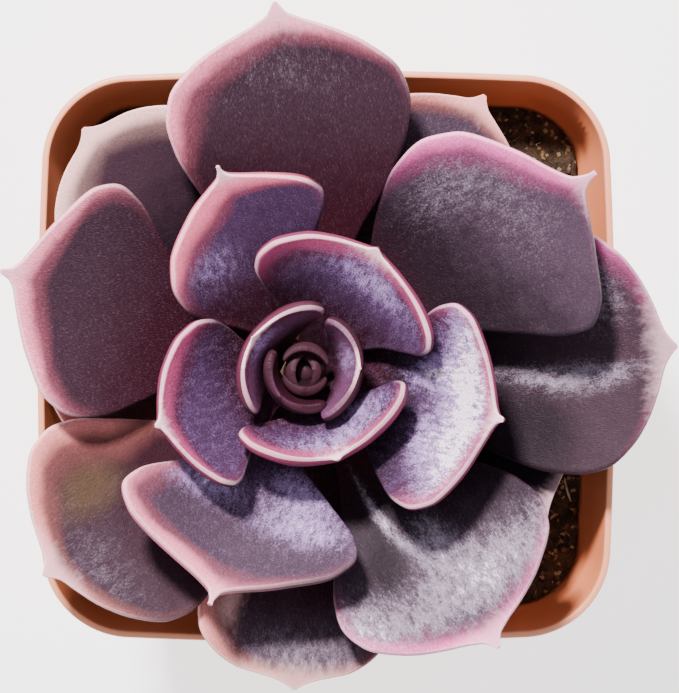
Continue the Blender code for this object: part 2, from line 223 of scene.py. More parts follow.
# %% [markdown]
# The floor is a plain pale table top. It glows a little by itself, so that the shadow of the pot stays faint, as
# on a lit studio table.

# %% Floor
FLOOR_SIDE = 6.0

floor_finish = Finish("pale_floor", Base_Color=rgb(0.86, 0.86, 0.87), Roughness=0.9,
                      Emission_Color=rgb(1, 1, 1), Emission_Strength=1.6)
bpy.ops.mesh.primitive_plane_add(size=FLOOR_SIDE)
floor = bpy.context.object
floor.name = "floor"
floor.data.materials.append(floor_finish.material)
print("floor:", FLOOR_SIDE, "m across")

# %% [markdown]
# Every piece is finished the same way: its mesh gets a material, it rides on the only body, and the moulds it
# stands in for are hidden.


# %% Adding a piece
def add_piece(name, mesh, finish, slot, *moulds):
    mesh.materials.clear()
    mesh.materials.append(finish.material)
    piece = bpy.data.objects.new(name, mesh)
    bpy.context.scene.collection.objects.link(piece)
    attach(piece, "root")
    if moulds:
        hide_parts(*moulds)
    return piece


def mesh_of(name, points, faces, smooth_below=50):
    mesh = bpy.data.meshes.new(name)
    mesh.from_pydata([tuple(point) for point in points], [], faces)
    mesh.validate()
    mesh.shade_smooth()
    mesh.set_sharp_from_angle(angle=math.radians(smooth_below))
    return mesh


def store(mesh, name, values):
    """Keeps a number or a vector at each point of the mesh, for the finish to read."""
    values = np.asarray(values, np.float32)
    kind, key = ("FLOAT_VECTOR", "vector") if values.ndim == 2 else ("FLOAT", "value")
    mesh.attributes.new(name, kind, "POINT").data.foreach_set(key, values.ravel())


# %% [markdown]
# The pot is one moulded shell with a wider collar. Its sections are squares with rounded corners whose sides bow
# out a little. We could bend a cube with modifiers, but a loft through measured sections keeps the taper, the
# collar's step and the corners true to the mould, so we lay rings and skin them.

# %% Pot shell
POT_WALL = 1.2 * MM
POT_HEIGHT = 88 * MM
POT_HALF_X = 49.5 * MM
POT_HALF_Y = 49 * MM
POT_CORNER = 15.6 * MM
POT_BOW = 0.8 * MM
COLLAR_DEPTH = 15.8 * MM
COLLAR_TAPER = 1.8 * MM
COLLAR_STEP = 0.9 * MM
STEP_RISE = 1.2 * MM
FOOT_HALF = 36.5 * MM
FOOT_CORNER = 12 * MM
FOOT_EDGE = 1.4 * MM
FOOT_BAND = 6 * MM
GROOVE_RISE = 1.5 * MM
GROOVE_SLOPE = 2 * MM
PAD_HALF = 12 * MM
PAD_CORNER = 7 * MM
EDGE_ROUND = 0.35 * MM
CORNER_STEPS = 20
POT_SIDE_STEPS = 20


def rounded_square(half_x, half_y, corner, bow, side_steps, height):
    """Points round a rounded square whose sides bow outward a little, anticlockwise from the +X side."""
    points = []
    for quarter in range(4):
        sign_x = (1, -1, -1, 1)[quarter]
        sign_y = (1, 1, -1, -1)[quarter]
        centre = Vector((sign_x * (half_x - corner), sign_y * (half_y - corner), height))
        for step in range(CORNER_STEPS + 1):
            angle = math.radians(90 * (quarter + step / CORNER_STEPS))
            points.append(centre + corner * Vector((math.cos(angle), math.sin(angle), 0)))
        start = points[-1]
        length = 2 * ((half_x if quarter % 2 == 0 else half_y) - corner)
        angle = math.radians(90 * (quarter + 1))
        outward = Vector((math.cos(angle), math.sin(angle), 0))
        onward = Vector((-outward.y, outward.x, 0))
        for step in range(1, side_steps):
            share = step / side_steps
            points.append(start + onward * length * share + outward * bow * 4 * share * (1 - share))
    return points


def wall_section(share):
    """Half sizes, corner and bow of the pot's wall, from 0 at the foot to 1 under the collar."""
    inset = COLLAR_TAPER + COLLAR_STEP
    half_x = FOOT_HALF + share * (POT_HALF_X - inset - FOOT_HALF)
    half_y = FOOT_HALF + share * (POT_HALF_Y - inset - FOOT_HALF)
    corner = FOOT_CORNER + share * (POT_CORNER - inset - FOOT_CORNER)
    return half_x, half_y, corner, POT_BOW * share


def inset_section(section, inset):
    half_x, half_y, corner, bow = section
    return half_x - inset, half_y - inset, max(corner - inset, 1 * MM), bow


def skin(rings, close_start=True, close_end=True):
    """A bmesh through the rings in turn."""
    bm = bmesh.new()
    loops = [[bm.verts.new(point) for point in ring] for ring in rings]
    for lower, upper in zip(loops, loops[1:]):
        for i in range(len(lower)):
            j = (i + 1) % len(lower)
            bm.faces.new((lower[i], lower[j], upper[j], upper[i]))
    if close_start:
        bm.faces.new(loops[0][::-1])
    if close_end:
        bm.faces.new(loops[-1])
    return bm


step_height = POT_HEIGHT - COLLAR_DEPTH
foot, collar_lip = wall_section(0), (POT_HALF_X, POT_HALF_Y, POT_CORNER, POT_BOW)
foot_inner = inset_section(foot, FOOT_BAND)
pad = (PAD_HALF, PAD_HALF, PAD_CORNER, 0)
stations = [
    (pad, 0),
    (inset_section(pad, -GROOVE_SLOPE), GROOVE_RISE),
    (inset_section(foot_inner, GROOVE_SLOPE), GROOVE_RISE),
    (foot_inner, 0),
    (inset_section(foot, FOOT_EDGE), 0),
    (foot, FOOT_EDGE),
    (wall_section(0.5), FOOT_EDGE + 0.5 * (step_height - STEP_RISE - FOOT_EDGE)),
    (wall_section(1), step_height - STEP_RISE),
    (inset_section(collar_lip, COLLAR_TAPER), step_height),
    (collar_lip, POT_HEIGHT),
]
shell = skin([rounded_square(*section, POT_SIDE_STEPS, height) for section, height in stations], close_end=False)
bmesh.ops.recalc_face_normals(shell, faces=shell.faces)
print("pot rings:", len(stations), "points a ring:", 4 * (CORNER_STEPS + POT_SIDE_STEPS))

# %% [markdown]
# The shell is given its wall by Solidify, and Bevel rounds the lip and the step, where moulded plastic always
# has a small radius that catches the light. The drain holes are cut last, so that their rims stay crisp.

# %% Pot wall and drain holes
DRAIN_RADIUS = 3.5 * MM
DRAIN_RING = 20 * MM
DRAIN_COUNT = 8
DRAIN_SIDES = 32


def applied(obj, name):
    """The object's mesh with its modifiers applied. The object goes."""
    bpy.context.view_layer.update()
    mesh = bpy.data.meshes.new_from_object(obj.evaluated_get(bpy.context.evaluated_depsgraph_get()))
    mesh.name = name
    bpy.data.objects.remove(obj)
    return mesh


def loose_object(name, bm):
    mesh = bpy.data.meshes.new(name)
    bm.to_mesh(mesh)
    bm.free()
    obj = bpy.data.objects.new(name, mesh)
    bpy.context.scene.collection.objects.link(obj)
    return obj


cutters = bmesh.new()
for hole in range(DRAIN_COUNT):
    angle = math.tau * hole / DRAIN_COUNT
    centre = Matrix.Translation((DRAIN_RING * math.cos(angle), DRAIN_RING * math.sin(angle), 0))
    bmesh.ops.create_cone(cutters, cap_ends=True, segments=DRAIN_SIDES, radius1=DRAIN_RADIUS,
                          radius2=DRAIN_RADIUS, depth=4 * (GROOVE_RISE + POT_WALL), matrix=centre)
drain_cutter = loose_object("drain_cutter", cutters)
pot_form = loose_object("pot_form", shell)
wall = pot_form.modifiers.new("Wall", "SOLIDIFY")
wall.thickness = POT_WALL
wall.offset = -1
wall.use_even_offset = True
rounding = pot_form.modifiers.new("Rounded edges", "BEVEL")
rounding.width = EDGE_ROUND
rounding.segments = 3
rounding.limit_method = "ANGLE"
rounding.angle_limit = math.radians(32)
drain = pot_form.modifiers.new("Drain holes", "BOOLEAN")
drain.operation = "DIFFERENCE"
drain.solver = "EXACT"
drain.object = drain_cutter
pot_mesh = applied(pot_form, "pot_shell")
bpy.data.objects.remove(drain_cutter)
pot_mesh.shade_smooth()
pot_mesh.set_sharp_from_angle(angle=math.radians(35))
print("pot faces:", len(pot_mesh.polygons))

# %% [markdown]
# Terracotta-coloured plastic is no clay: it has a satin gloss and a faint cloudiness from the mould. The colour
# drifts a little, fine scuffs dull it here and there, and dried splashes of soil sit low on the inside. The top of
# the lip is painted paler all round, a painted highlight.

# %% Pot finish
pot_finish = Finish("terracotta_plastic", Specular_IOR_Level=0.5)
at = pot_finish.place()
cloud = at.grain(9.0, 3, seed=1.0)
scuff = at.grain(1.1, 4, 0.6, seed=2.0)
height = at.part(2)
terracotta = cloud.choose(rgb(0.72, 0.19, 0.080), rgb(0.82, 0.25, 0.115))
# A paler band round the top of the lip: a painted highlight.
lip_highlight = (height + cloud * 1.0).step(87.2, 88.2)
terracotta = (lip_highlight * 0.35).choose(terracotta, rgb(0.90, 0.42, 0.27))
dirt = (scuff + (height - 70.0) * -0.05).step(0.62, 0.80) * height.step(80.0, 73.0) * height.step(60.0, 66.0)
terracotta = (dirt * 0.7).choose(terracotta, rgb(0.06, 0.03, 0.018))
pot_finish.vary(Base_Color=terracotta, Roughness=0.30 + scuff * 0.22)
pot_finish.relief(at.grain(0.5, 2, seed=3.0) * 0.5 + at.grain(6.0, 2, seed=4.0) * 2.0, 0.02)
add_piece("pot_shell", pot_mesh, pot_finish, "pot_plastic", "pot")
print("pot dressed")

# %% [markdown]
# Potting soil is dark peat, broken into crumbs, with grit and fibres in it. A bump map on a flat plane would give
# it away at the pot's wall, so the surface is really displaced: rings run from the wall to the stem, and three
# sizes of noise push them up and down. A formula for that height is worth having, because grit has to lie on it.

# %% Soil surface
SOIL_LEVEL = 69 * MM
SOIL_BASE = 3 * MM
SOIL_GAP = 0.5 * MM
SOIL_MOUND = 0.6 * MM
SOIL_RINGS = 84
SOIL_SIDE_STEPS = 90
CRUMB_HEIGHT = 0.9 * MM
CRUMB_SIZE = 5.5 * MM
STEM_PLACE = Vector((-3.5 * MM, -2.5 * MM, 0))
STEM_FOOT = 48 * MM
STEM_MOUTH = 6.1 * MM
STEM_HOLE = 4.4 * MM


def soil_height(x, y):
    """Height of the soil's surface: soft lumps, then crumbs, then grains."""
    place = Vector((x, y, 0))
    lumps = noise.noise(place / CRUMB_SIZE)
    fine = noise.noise(place / (0.45 * CRUMB_SIZE) + Vector((7.3, 1.9, 4.1)))
    crumbs = 0.5 - abs(noise.noise(place / (1.5 * MM) + Vector((2.1, 8.8, 0.4))))
    grains = 0.5 - abs(noise.noise(place / (0.6 * MM) + Vector((5.2, 3.7, 9.6))))
    return SOIL_LEVEL + CRUMB_HEIGHT * (lumps + 0.6 * fine + 0.9 * crumbs + 0.45 * grains)


def make_soil():
    rings = []
    for share in (0, 1 / 3, 2 / 3, 1):
        level = SOIL_BASE + share * (SOIL_LEVEL - SOIL_BASE)
        wall_share = (level - FOOT_EDGE) / (step_height - STEP_RISE - FOOT_EDGE)
        section = inset_section(wall_section(wall_share), POT_WALL + SOIL_GAP)
        rings.append(rounded_square(*section, SOIL_SIDE_STEPS, level))
    outer = rings.pop()
    away = [(Vector((point.x, point.y, 0)) - STEM_PLACE).normalized() for point in outer]
    for ring in range(SOIL_RINGS + 1):
        share = ring / SOIL_RINGS
        made = []
        for far, direction in zip(outer, away):
            point = far.lerp(STEM_PLACE + direction * STEM_MOUTH, share)
            point.z = soil_height(point.x, point.y) + SOIL_MOUND * share
            made.append(point)
        rings.append(made)
    hole_foot = STEM_PLACE + Vector((0, 0, STEM_FOOT))
    rings.append([hole_foot + direction * STEM_HOLE for direction in away])
    bm = skin(rings)
    bmesh.ops.recalc_face_normals(bm, faces=bm.faces)
    mesh = bpy.data.meshes.new("soil_fill")
    bm.to_mesh(mesh)
    bm.free()
    mesh.shade_smooth()
    return mesh


soil_mesh = make_soil()
print("soil faces:", len(soil_mesh.polygons))

# %% [markdown]
# Damp peat is almost black, browner where it is dry and crumbly. Its specks of sand and bark are too many to
# model one by one, so the finest are painted with Voronoi cells: a few cells in a hundred are picked by their
# random colour.

# %% Soil finish
soil_finish = Finish("damp_peat", Specular_IOR_Level=0.3)
at = soil_finish.place()
lumps = at.grain(3.0, 4, 0.65, seed=5.0)
fine = at.grain(0.5, 3, 0.6, seed=6.0)
peat = (lumps * 0.6 + fine * 0.4).step(0.36, 0.66).choose(rgb(0.004, 0.003, 0.002), rgb(0.085, 0.045, 0.022))
cells = at.node("ShaderNodeTexVoronoi", {"voronoi_dimensions": "3D"}, {"Vector": at, "Scale": 1.7}, "Color")
speck = cells.part(0).step(0.88, 0.91)
peat = (speck * 0.8).choose(peat, cells.part(1).choose(rgb(0.22, 0.10, 0.04), rgb(0.42, 0.27, 0.14)))
soil_finish.vary(Base_Color=peat, Roughness=0.72 + fine * 0.3)
soil_finish.relief(fine * 0.6 + at.grain(0.22, 2, seed=7.0) * 0.4, 0.35)
add_piece("soil_fill", soil_mesh, soil_finish, "potting_soil", "soil")
print("soil dressed")

# %% [markdown]
# Larger crumbs, grit and fibres are real pieces. Each crumb is a small sphere pushed out of shape, pressed a
# third into the soil. They are joined into one mesh for each colour, since hundreds of loose objects would slow
# everything down.

# %% Crumbs and grit
CRUMB_MARGIN = 1.4 * MM
STEM_CLEAR = 8 * MM
WALL_SHARE_AT_SOIL = (SOIL_LEVEL - FOOT_EDGE) / (step_height - STEP_RISE - FOOT_EDGE)


def soil_spots(count, draw):
    """Random places on the soil, clear of the wall and the stem."""
    half_x, half_y, corner, _ = inset_section(wall_section(WALL_SHARE_AT_SOIL), POT_WALL + CRUMB_MARGIN)
    spots = []
    while len(spots) < count:
        x, y = draw.uniform(-half_x, half_x), draw.uniform(-half_y, half_y)
        out_x, out_y = max(abs(x) - half_x + corner, 0), max(abs(y) - half_y + corner, 0)
        near_stem = (Vector((x, y, 0)) - STEM_PLACE).length < STEM_CLEAR
        if math.hypot(out_x, out_y) < corner and not near_stem:
            spots.append(Vector((x, y, soil_height(x, y))))
    return spots


def scatter_crumbs(name, count, least, most, seed):
    draw = random.Random(seed)
    bm = bmesh.new()
    for spot in soil_spots(count, draw):
        size = least + (most - least) * draw.random() ** 2
        turn = Matrix.Rotation(draw.uniform(0, math.tau), 4, (draw.random(), draw.random(), draw.random() + 0.2))
        shape = Matrix.Diagonal((size, size * draw.uniform(0.6, 0.95), size * draw.uniform(0.45, 0.8), 1))
        made = bmesh.ops.create_icosphere(bm, subdivisions=2 if size > 0.5 * MM else 1, radius=1)
        for vert in made["verts"]:
            vert.co *= 1 + 0.45 * noise.noise(vert.co * 1.7 + spot * 900)
        place = Matrix.Translation(spot + Vector((0, 0, 0.15 * size))) @ turn @ shape
        bmesh.ops.transform(bm, matrix=place, verts=made["verts"])
    mesh = bpy.data.meshes.new(name)
    bm.to_mesh(mesh)
    bm.free()
    mesh.shade_smooth()
    return mesh


def stone_finish(name, dark, pale, seed):
    finish = Finish(name, Specular_IOR_Level=0.4)
    at = finish.place()
    cloud = at.grain(1.2, 3, seed=seed)
    finish.vary(Base_Color=cloud.step(0.35, 0.65).choose(dark, pale), Roughness=0.6 + at.grain(0.3, 2) * 0.35)
    finish.relief(at.grain(0.15, 3, seed=seed), 0.06)
    return finish


crumb_finish = stone_finish("peat_crumbs", rgb(0.008, 0.005, 0.003), rgb(0.130, 0.062, 0.028), 8.0)
grit_finish = stone_finish("pale_grit", rgb(0.28, 0.15, 0.07), rgb(0.62, 0.50, 0.38), 9.0)
crumb_mesh = scatter_crumbs("peat_crumbs", 900, 0.25 * MM, 1.1 * MM, 11)
grit_mesh = scatter_crumbs("pale_grit", 110, 0.15 * MM, 0.42 * MM, 12)
add_piece("peat_crumbs", crumb_mesh, crumb_finish, "potting_soil")
add_piece("pale_grit", grit_mesh, grit_finish, "potting_soil")
print("crumb faces:", len(crumb_mesh.polygons), "grit faces:", len(grit_mesh.polygons))

# %% [markdown]
# Fibres are thin tubes that follow a short curved path over the soil. One function sweeps a circle along any
# path, so it also makes the pale twig that lies by the right-hand wall.


# %% Fibres and twig
def sweep(bm, path, radius, sides=5):
    """A closed tube along a path, thinner at its ends."""
    rings = []
    for i, point in enumerate(path):
        ahead = (path[min(i + 1, len(path) - 1)] - path[max(i - 1, 0)]).normalized()
        aside = ahead.cross(Vector((0, 0, 1))).normalized()
        over = aside.cross(ahead)
        thin = radius * (0.35 + 0.65 * math.sin(math.pi * (i + 0.5) / len(path)))
        angles = [math.tau * side / sides for side in range(sides)]
        rings.append([bm.verts.new(point + thin * (math.cos(a) * aside + math.sin(a) * over)) for a in angles])
    for lower, upper in zip(rings, rings[1:]):
        for i in range(sides):
            j = (i + 1) % sides
            bm.faces.new((lower[i], lower[j], upper[j], upper[i]))
    bm.faces.new(rings[0][::-1])
    bm.faces.new(rings[-1])


def soil_path(start, heading, length, curl, steps, lift):
    """A path over the soil that turns by curl radians in all."""
    path = []
    point = start.copy()
    for step in range(steps + 1):
        hump = lift * math.sin(math.pi * step / steps)
        path.append(Vector((point.x, point.y, soil_height(point.x, point.y) + hump)))
        angle = heading + curl * step / steps
        point = point + Vector((math.cos(angle), math.sin(angle), 0)) * length / steps
    return path


draw = random.Random(21)
fibres = bmesh.new()
for spot in soil_spots(150, draw):
    inward = math.atan2(-spot.y, -spot.x) + draw.uniform(-1.2, 1.2)
    sweep(fibres, soil_path(spot, inward, draw.uniform(2, 6) * MM, draw.uniform(-2, 2), 8, 0.35 * MM),
          draw.uniform(0.04, 0.09) * MM, 4)
fibre_mesh = bpy.data.meshes.new("soil_fibres")
fibres.to_mesh(fibre_mesh)
fibres.free()
fibre_mesh.shade_smooth()
fibre_finish = stone_finish("dry_fibre", rgb(0.09, 0.045, 0.02), rgb(0.26, 0.15, 0.08), 10.0)
add_piece("soil_fibres", fibre_mesh, fibre_finish, "potting_soil")

TWIG_START = Vector((42.6 * MM, -21.6 * MM, 0))
twig = bmesh.new()
sweep(twig, soil_path(TWIG_START, math.radians(-82), 4.6 * MM, 0.25, 10, 0.25 * MM), 0.22 * MM, 8)
twig_mesh = bpy.data.meshes.new("pale_twig")
twig.to_mesh(twig_mesh)
twig.free()
twig_mesh.shade_smooth()
twig_finish = stone_finish("bare_twig", rgb(0.42, 0.25, 0.13), rgb(0.70, 0.52, 0.34), 13.0)
add_piece("pale_twig", twig_mesh, twig_finish, "potting_soil")
print("fibre faces:", len(fibre_mesh.polygons))

# %% [markdown]
# The stem is short and brown, and ringed with the scars of leaves that it has shed. It hardly shows, but from the
# side it carries the whole rosette, so it gets real ridges: its turned outline is pushed in and out ring by ring.

# %% Stem
STEM_TOP = 100 * MM
STEM_PROFILE = [(2.4, 100), (3.4, 96), (5.6, 80), (6.0, 73.5), (5.4, 67), (4.0, 48)]
STEM_RINGS = 120
STEM_SIDES = 48
SCAR_HEIGHT = 1.3
SCAR_DEPTH = 0.22


def stem_radius(height):
    """The stem's radius at a height, in metres."""
    radii, heights = zip(*reversed(STEM_PROFILE))
    return float(np.interp(height / MM, heights, radii)) * MM


def make_stem():
    rings = []
    for ring in range(STEM_RINGS + 1):
        level = STEM_FOOT + (STEM_TOP - STEM_FOOT) * ring / STEM_RINGS
        made = []
        for side in range(STEM_SIDES):
            angle = math.tau * side / STEM_SIDES
            wave = abs(math.sin(math.pi * level / MM / SCAR_HEIGHT + 0.8 * math.sin(2 * angle)))
            rough = noise.noise(Vector((math.cos(angle) * 2, math.sin(angle) * 2, level / MM)))
            radius = stem_radius(level) - SCAR_DEPTH * MM * (1 - wave) - 0.12 * MM * abs(rough)
            made.append(STEM_PLACE + Vector((radius * math.cos(angle), radius * math.sin(angle), level)))
        rings.append(made)
    bm = skin(rings)
    mesh = bpy.data.meshes.new("stem_bark")
    bm.to_mesh(mesh)
    bm.free()
    mesh.shade_smooth()
    return mesh


stem_finish = Finish("stem_bark", Specular_IOR_Level=0.3)
at = stem_finish.place()
streak = (at * (1.0, 1.0, 0.3)).grain(0.8, 4, 0.6, seed=14.0)
stem_finish.vary(Base_Color=streak.step(0.3, 0.7).choose(rgb(0.055, 0.028, 0.018), rgb(0.24, 0.14, 0.09)),
                 Roughness=0.65 + streak * 0.3)
stem_finish.relief(streak, 0.12)
add_piece("stem_bark", make_stem(), stem_finish, "stem_bark", "stem")
print("stem rings:", STEM_RINGS)

# %% [markdown]
# A leaf is the hardest and most telling piece. It is a thick blade that follows a curved rib, curls up at both
# sides, swells along its middle and ends in a fine point. We could sculpt it from a subdivided cage, but then
# twenty leaves would mean twenty cages. A formula turns two numbers, how far along the leaf and how far across,
# into a place, so one function makes them all from a short line of measures for each.

# %% Leaf measures
LOWEST_LEAF = 73.8 * MM
LEAF_STEP = 1.3 * MM
LEAF_SEAT = 0.4 * MM
MARGIN_LOWEST = 1.2 * MM
MARGIN_GROWTH = 0.02 * MM
FLESH_LEAST = 1.4 * MM
FLESH_SHARE = 0.15
WIDEST = 0.70
POINT_SHARE = 0.06
POINT_TAPER = 0.42
POINT_LENGTH = 6 * MM
NECK_SHARE = 0.25
KEEL_ROUND = 0.2
LEAF_OUTLINE = [
    (0.0, 0.24), (0.10, 0.25), (0.30, 0.46), (0.48, 0.77), (0.62, 0.96), (0.70, 1.0), (0.78, 0.95),
    (0.86, 0.74), (0.91, 0.50), (0.945, 0.26), (0.965, 0.12), (0.985, 0.055), (1.0, 0.02),
]
LEAF_FLESH = [(0.0, 0.55), (0.15, 0.75), (0.60, 1.0), (0.85, 0.80), (0.95, 0.42), (1.0, 0.16)]


@dataclass
class Leaf:
    """One leaf's measures. Lengths are in metres and angles in degrees.

    rise and tip_rise are its slope at the stem and at the tip, and cup is the angle each half curls through.
    sweep leans the tip to the left, slant sets the left shoulder ahead of the right one, and keel folds the
    leaf along its middle. point and waist say how fast it narrows to the tip and to the stem, 1 being plain.
    """

    azimuth: float
    reach: float
    tip_height: float
    half_width: float
    cup: float
    rise: float
    tip_rise: float
    sweep: float = 0.0
    point: float = 1.0
    waist: float = 1.0
    slant: float = 0.0
    keel: float = 0.0
    base_height: float = 0.0
    base_radius: float = 0.0
    margin: float = 0.0


ROSETTE = [
    Leaf(327.5, 0.0497, 0.0900, 0.0165, 12, 20, 8, point=0.3),
    Leaf(179, 0.0473, 0.0935, 0.0145, 12, 21, 14),
    Leaf(57, 0.0565, 0.0940, 0.0160, 12, 20, 8),
    Leaf(270, 0.0545, 0.0975, 0.0175, 12, 24, 12, sweep=-0.002, point=0.5, slant=-0.10),
    Leaf(131, 0.0565, 0.0962, 0.0170, 12, 23, 10, sweep=0.0015, point=0.7, slant=0.04),
    Leaf(4, 0.0632, 0.1010, 0.0210, 14, 26, 16, point=0.8, waist=0.8),
    Leaf(220, 0.0563, 0.1030, 0.0200, 16, 28, 20, sweep=-0.002, waist=1.3, slant=-0.03),
    Leaf(92, 0.0620, 0.1090, 0.0210, 18, 31, 24, sweep=0.003, point=1.2),
    Leaf(306, 0.0565, 0.1085, 0.0204, 20, 33, 24, sweep=-0.001, point=1.3, waist=1.3),
    Leaf(161, 0.0536, 0.1100, 0.0200, 22, 36, 28, sweep=0.0005, point=1.7, waist=1.5, slant=-0.06),
    Leaf(34.5, 0.0587, 0.1130, 0.0213, 18, 38, 26, point=2.3, waist=1.2, slant=-0.08),
    Leaf(245, 0.0415, 0.1130, 0.0210, 28, 45, 35, sweep=0.002, point=2.6, waist=1.8, slant=-0.03, keel=0.1),
    Leaf(114.5, 0.0368, 0.1140, 0.0154, 34, 48, 38, sweep=-0.001, point=2.2, waist=0.9, slant=-0.13),
    Leaf(343, 0.0338, 0.1150, 0.0184, 36, 52, 42, sweep=0.002, point=1.8, waist=1.1, slant=0.02),
    Leaf(198.5, 0.0262, 0.1140, 0.0146, 40, 55, 45, sweep=0.0009, point=1.6, waist=0.7, slant=0.12),
    Leaf(61.5, 0.0236, 0.1145, 0.0174, 44, 60, 45, sweep=-0.0009, point=1.3, waist=0.9, slant=-0.06),
    Leaf(293.5, 0.0156, 0.1135, 0.0158, 48, 68, 50, sweep=-0.0007, point=1.5, waist=1.2, slant=0.05),
    Leaf(147, 0.0103, 0.1120, 0.0118, 60, 74, 56),
    Leaf(6, 0.0092, 0.1110, 0.0093, 60, 76, 58, sweep=-0.0006, point=1.4),
    Leaf(225, 0.0058, 0.1090, 0.0072, 70, 82, 66),
]
for number, leaf in enumerate(ROSETTE):
    leaf.base_height = LOWEST_LEAF + number * LEAF_STEP
    leaf.base_radius = stem_radius(leaf.base_height) + LEAF_SEAT
    leaf.margin = MARGIN_LOWEST + number * MARGIN_GROWTH
print("leaves:", len(ROSETTE))

# %% [markdown]
# The outline is a list of widths with a smooth curve through them. A plain cubic curve would overshoot between
# a wide station and a narrow one, so the slopes are harmonic means, which add no bumps of their own. The last
# millimetres are a straight-sided point, blended into the outline by adding fourth powers.


# %% Leaf outline
def smooth_through(stations, at):
    """A smooth curve through the stations that adds no bumps of its own, read at the given places."""
    places = np.array([place for place, _ in stations])
    values = np.array([value for _, value in stations])
    gaps = np.diff(places)
    slopes = np.diff(values) / gaps
    tangents = np.zeros(len(places))
    tangents[0] = slopes[0]
    tangents[-1] = slopes[-1]
    for i in range(1, len(places) - 1):
        if slopes[i - 1] * slopes[i] > 0:
            before = 2 * gaps[i] + gaps[i - 1]
            after = gaps[i] + 2 * gaps[i - 1]
            tangents[i] = (before + after) / (before / slopes[i - 1] + after / slopes[i])
    k = np.clip(np.searchsorted(places, at, side="right") - 1, 0, len(gaps) - 1)
    s = (at - places[k]) / gaps[k]
    rising = s * s * (3 - 2 * s)
    lead = s * (1 - s) ** 2 * gaps[k] * tangents[k]
    trail = s * s * (s - 1) * gaps[k] * tangents[k + 1]
    return (1 - rising) * values[k] + rising * values[k + 1] + lead + trail


def leaf_half_width(leaf, along, side):
    """Half width at a place along the leaf, on its left (side 1) or its right (side -1)."""
    slanted = along - leaf.slant * side * np.sin(np.pi * along) ** 2
    share = np.clip(smooth_through(LEAF_OUTLINE, np.clip(slanted, 0, 1)), 0.0001, 1)
    beyond = 1 + (leaf.point - 1) * np.clip((1 - along) / POINT_SHARE, 0, 1)
    before = 1 + (leaf.waist - 1) * np.clip(along / NECK_SHARE, 0, 1)
    blade = leaf.half_width * share ** np.where(slanted > WIDEST, beyond, before)
    ahead = np.minimum((1 - along) * (leaf.reach - leaf.base_radius), POINT_LENGTH)
    spike = np.where(along > WIDEST, POINT_TAPER * ahead, 0)
    return (blade**4 + spike**4) ** 0.25


def leaf_place(leaf, along, across):
    """Points of the upper face: along runs 0 to 1 from stem to tip, across -1 to 1, the left margin."""
    angle = math.radians(leaf.azimuth)
    outward = np.array([math.cos(angle), math.sin(angle), 0.0])
    left = np.array([-math.sin(angle), math.cos(angle), 0.0])
    up = np.array([0.0, 0.0, 1.0])
    start = np.array([leaf.base_radius, leaf.base_height])
    end = np.array([leaf.reach, leaf.tip_height])
    handle = np.linalg.norm(end - start) / 3
    rise, tip_rise = math.radians(leaf.rise), math.radians(leaf.tip_rise)
    lead = start + handle * np.array([math.cos(rise), math.sin(rise)])
    trail = end - handle * np.array([math.cos(tip_rise), math.sin(tip_rise)])
    t = along[:, None]
    rib = (1 - t) ** 3 * start + 3 * (1 - t) ** 2 * t * lead + 3 * (1 - t) * t * t * trail + t**3 * end
    run = (1 - t) ** 2 * (lead - start) + 2 * (1 - t) * t * (trail - lead) + t * t * (end - trail)
    run = run / np.linalg.norm(run, axis=1, keepdims=True)
    turn = (2 * leaf.sweep * along / (leaf.reach - leaf.base_radius))[:, None]
    ahead = outward * np.cos(turn) + left * np.sin(turn)
    aside = left * np.cos(turn) - outward * np.sin(turn)
    face = up * run[:, :1] - ahead * run[:, 1:]
    half = leaf_half_width(leaf, along, np.sign(across))
    bend = leaf.half_width / math.radians(leaf.cup)
    arc = half * across / bend
    keel = leaf.keel * half * (np.sqrt(across**2 + KEEL_ROUND**2) - KEEL_ROUND)
    foot = np.array(STEM_PLACE)
    middle = foot + rib[:, :1] * outward + rib[:, 1:] * up + (leaf.sweep * along**2)[:, None] * left
    return middle + (bend * np.sin(arc))[:, None] * aside + (bend * (1 - np.cos(arc)) + keel)[:, None] * face


widths = leaf_half_width(ROSETTE[0], np.linspace(0, 1, 6), 1)
print("lowest leaf's half widths in mm:", np.round(widths / MM, 1))

# %% [markdown]
# The blade is a grid of rings: each goes over the upper face and back under the lower one. The two faces meet in
# a rounded margin, which needs points close together just there, so the points across follow a sine. Slow noise
# bends the blade a little, because nothing that grows is quite even.

# %% Leaf blade
LEAF_ACROSS = 44
LEAF_ALONG = 92
TIP_SPREAD = 1.7
POINT_WIDTH = 0.12 * MM
MARGIN_TAPER = ([0, 0.85, 0.97, 1], [1, 1, 0.5, 0.22])
BEND_NOISE = 0.35 * MM
BEND_SIZE = 13 * MM
DENT_NOISE = 0.10 * MM
DENT_SIZE = 4.5 * MM


